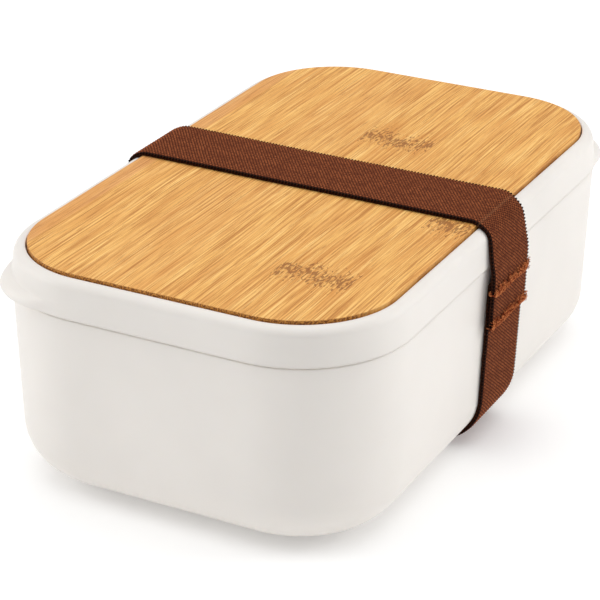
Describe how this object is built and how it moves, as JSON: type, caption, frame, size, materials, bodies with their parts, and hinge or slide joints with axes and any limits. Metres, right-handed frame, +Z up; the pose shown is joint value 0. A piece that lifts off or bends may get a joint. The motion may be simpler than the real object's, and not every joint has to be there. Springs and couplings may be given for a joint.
{
  "type": "bento lunch box",
  "caption": "Rounded rectangular food box with a press-on lid, an inlaid bamboo top, a removable divider and an elastic band round it.",
  "frame": {"origin": "on the surface that the box stands on, under the middle of the tub", "axes": "+X along the long side, +Y across the box, away from the band's sewn lap, +Z up"},
  "size_m": [0.1874, 0.1206, 0.0698],
  "materials": {
    "moulded_plastic": "fine satin, warm off-white",
    "bamboo": "sanded and lightly oiled, grain along X",
    "adhesive_tape": "matt",
    "silicone": "matt, translucent grey",
    "woven_elastic": "ribbed weave with looped edges",
    "sewing_thread": "spun thread"
  },
  "bodies": {
    "tub": {"tub": "moulded_plastic"},
    "lid": {"lid_shell": "moulded_plastic", "bamboo_panel": "bamboo", "panel_adhesive": "adhesive_tape", "lid_seal": "silicone"},
    "divider": {"divider": "moulded_plastic"},
    "band": {"elastic_band": "woven_elastic", "stitch_row_upper": "sewing_thread", "stitch_row_lower": "sewing_thread"}
  },
  "joints": [
    {"name": "lid_lift", "type": "slide", "parent": "tub", "child": "lid", "axis": [0, 0, 1], "range_m": [0, 0.14], "deforming": ["elastic_band", "stitch_row_upper", "stitch_row_lower"]},
    {"name": "divider_lift", "type": "slide", "parent": "tub", "child": "divider", "axis": [0, 0, 1], "range_m": [0, 0.063]},
    {"name": "band_slide", "type": "slide", "parent": "tub", "child": "band", "axis": [1, 0, 0], "range_m": [-0.115, 0.115]}
  ],
  "couplings": [
    {"joint": "divider_lift", "follows": "lid_lift", "ratio": 0.45}
  ]
}
